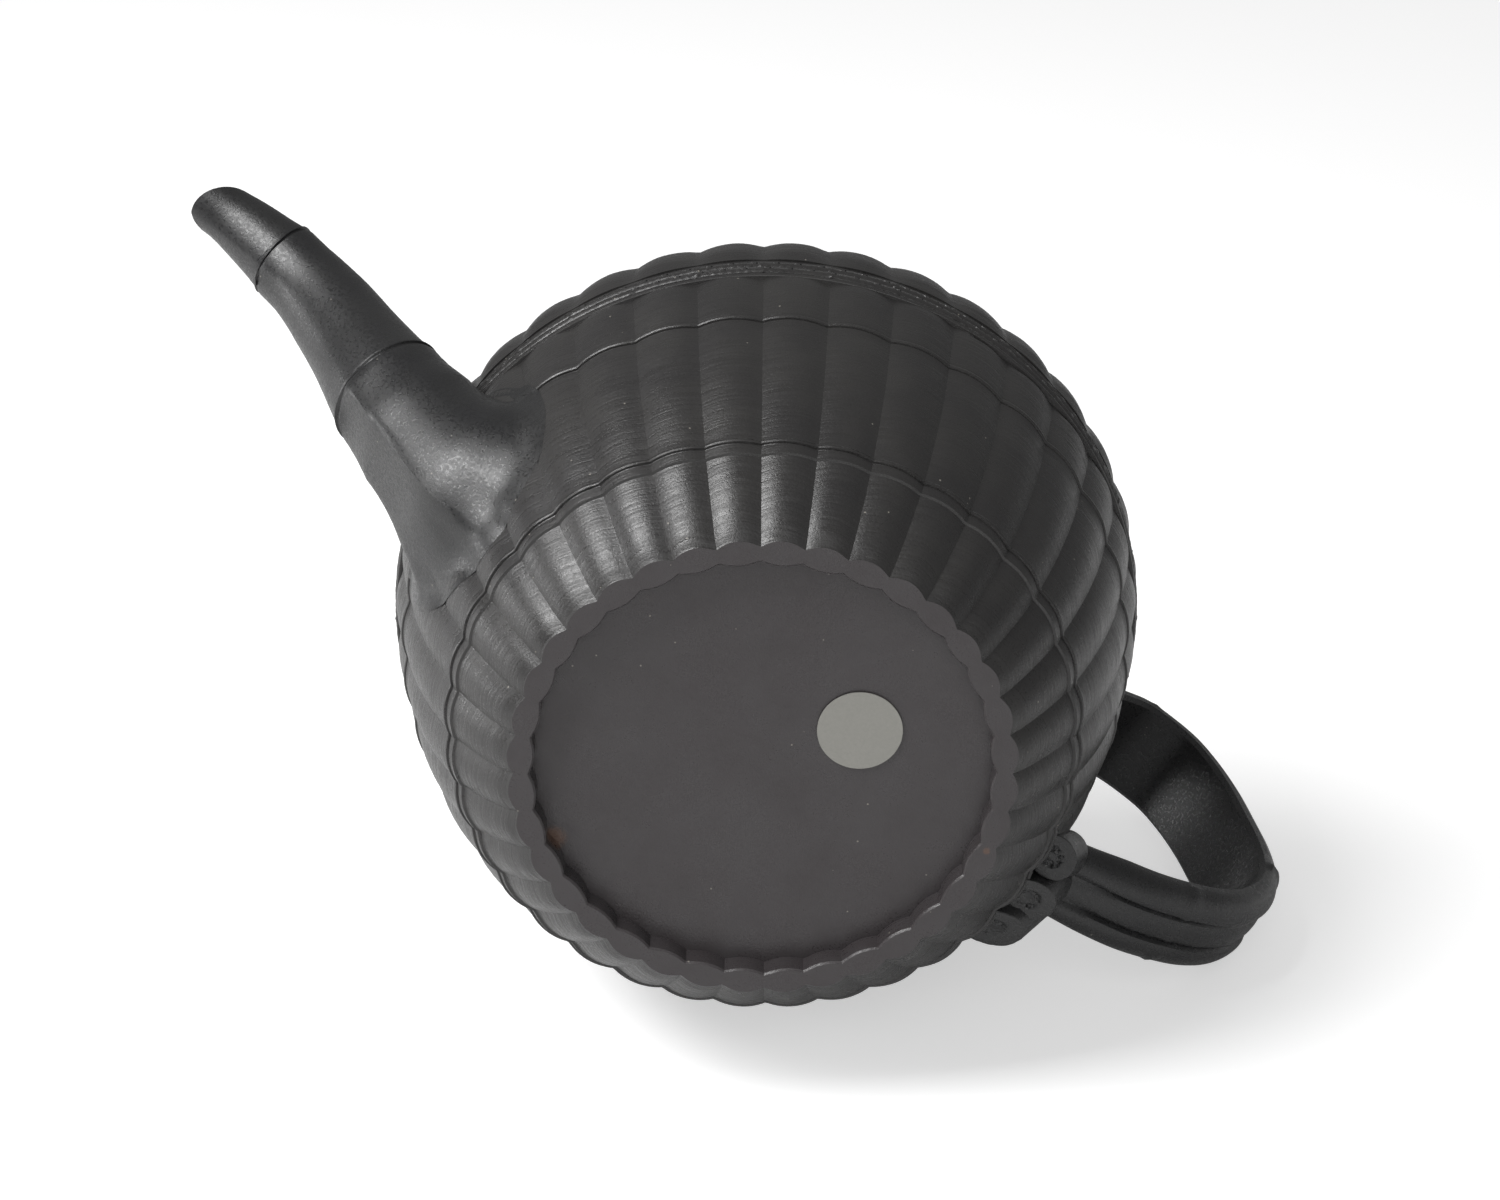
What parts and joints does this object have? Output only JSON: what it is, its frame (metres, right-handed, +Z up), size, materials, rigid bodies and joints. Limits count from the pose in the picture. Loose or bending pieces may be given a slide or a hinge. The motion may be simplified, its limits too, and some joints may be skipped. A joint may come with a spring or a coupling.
{
  "type": "covered teapot",
  "caption": "Squat covered teapot moulded as a bundle of bamboo canes, with a rope band, a cane spout, a flat strap handle and a lift-off lid.",
  "frame": {"origin": "centre of the foot ring, in the plane that the pot stands on", "axes": "+Z up along the pot's axis, -X towards the spout, +X towards the handle"},
  "size_m": [0.2615, 0.15, 0.1272],
  "materials": {
    "black_stoneware": "unglazed dry-bodied black stoneware, fine matt surface with a faint sheen",
    "label_paper": "blank matt grey paper"
  },
  "bodies": {
    "pot": {"lower_wall": "black_stoneware", "shoulder_wall": "black_stoneware", "base_slab": "black_stoneware", "band_fillet_lower": "black_stoneware", "rope_strand_lower": "black_stoneware", "rope_strand_upper": "black_stoneware", "band_fillet_upper": "black_stoneware", "mouth_collar": "black_stoneware", "spout": "black_stoneware", "handle_strap": "black_stoneware", "cane_terminal_middle": "black_stoneware", "cane_terminal_near": "black_stoneware", "cane_terminal_far": "black_stoneware", "paper_label": "label_paper"},
    "lid": {"lid_dome": "black_stoneware", "lid_flange": "black_stoneware", "knop_stem": "black_stoneware", "knop_node_ring": "black_stoneware", "knop_cane": "black_stoneware"}
  },
  "joints": [
    {"name": "lid_lift", "type": "slide", "parent": "pot", "child": "lid", "axis": [0, 0, 1], "range_m": [0, 0.05]}
  ]
}
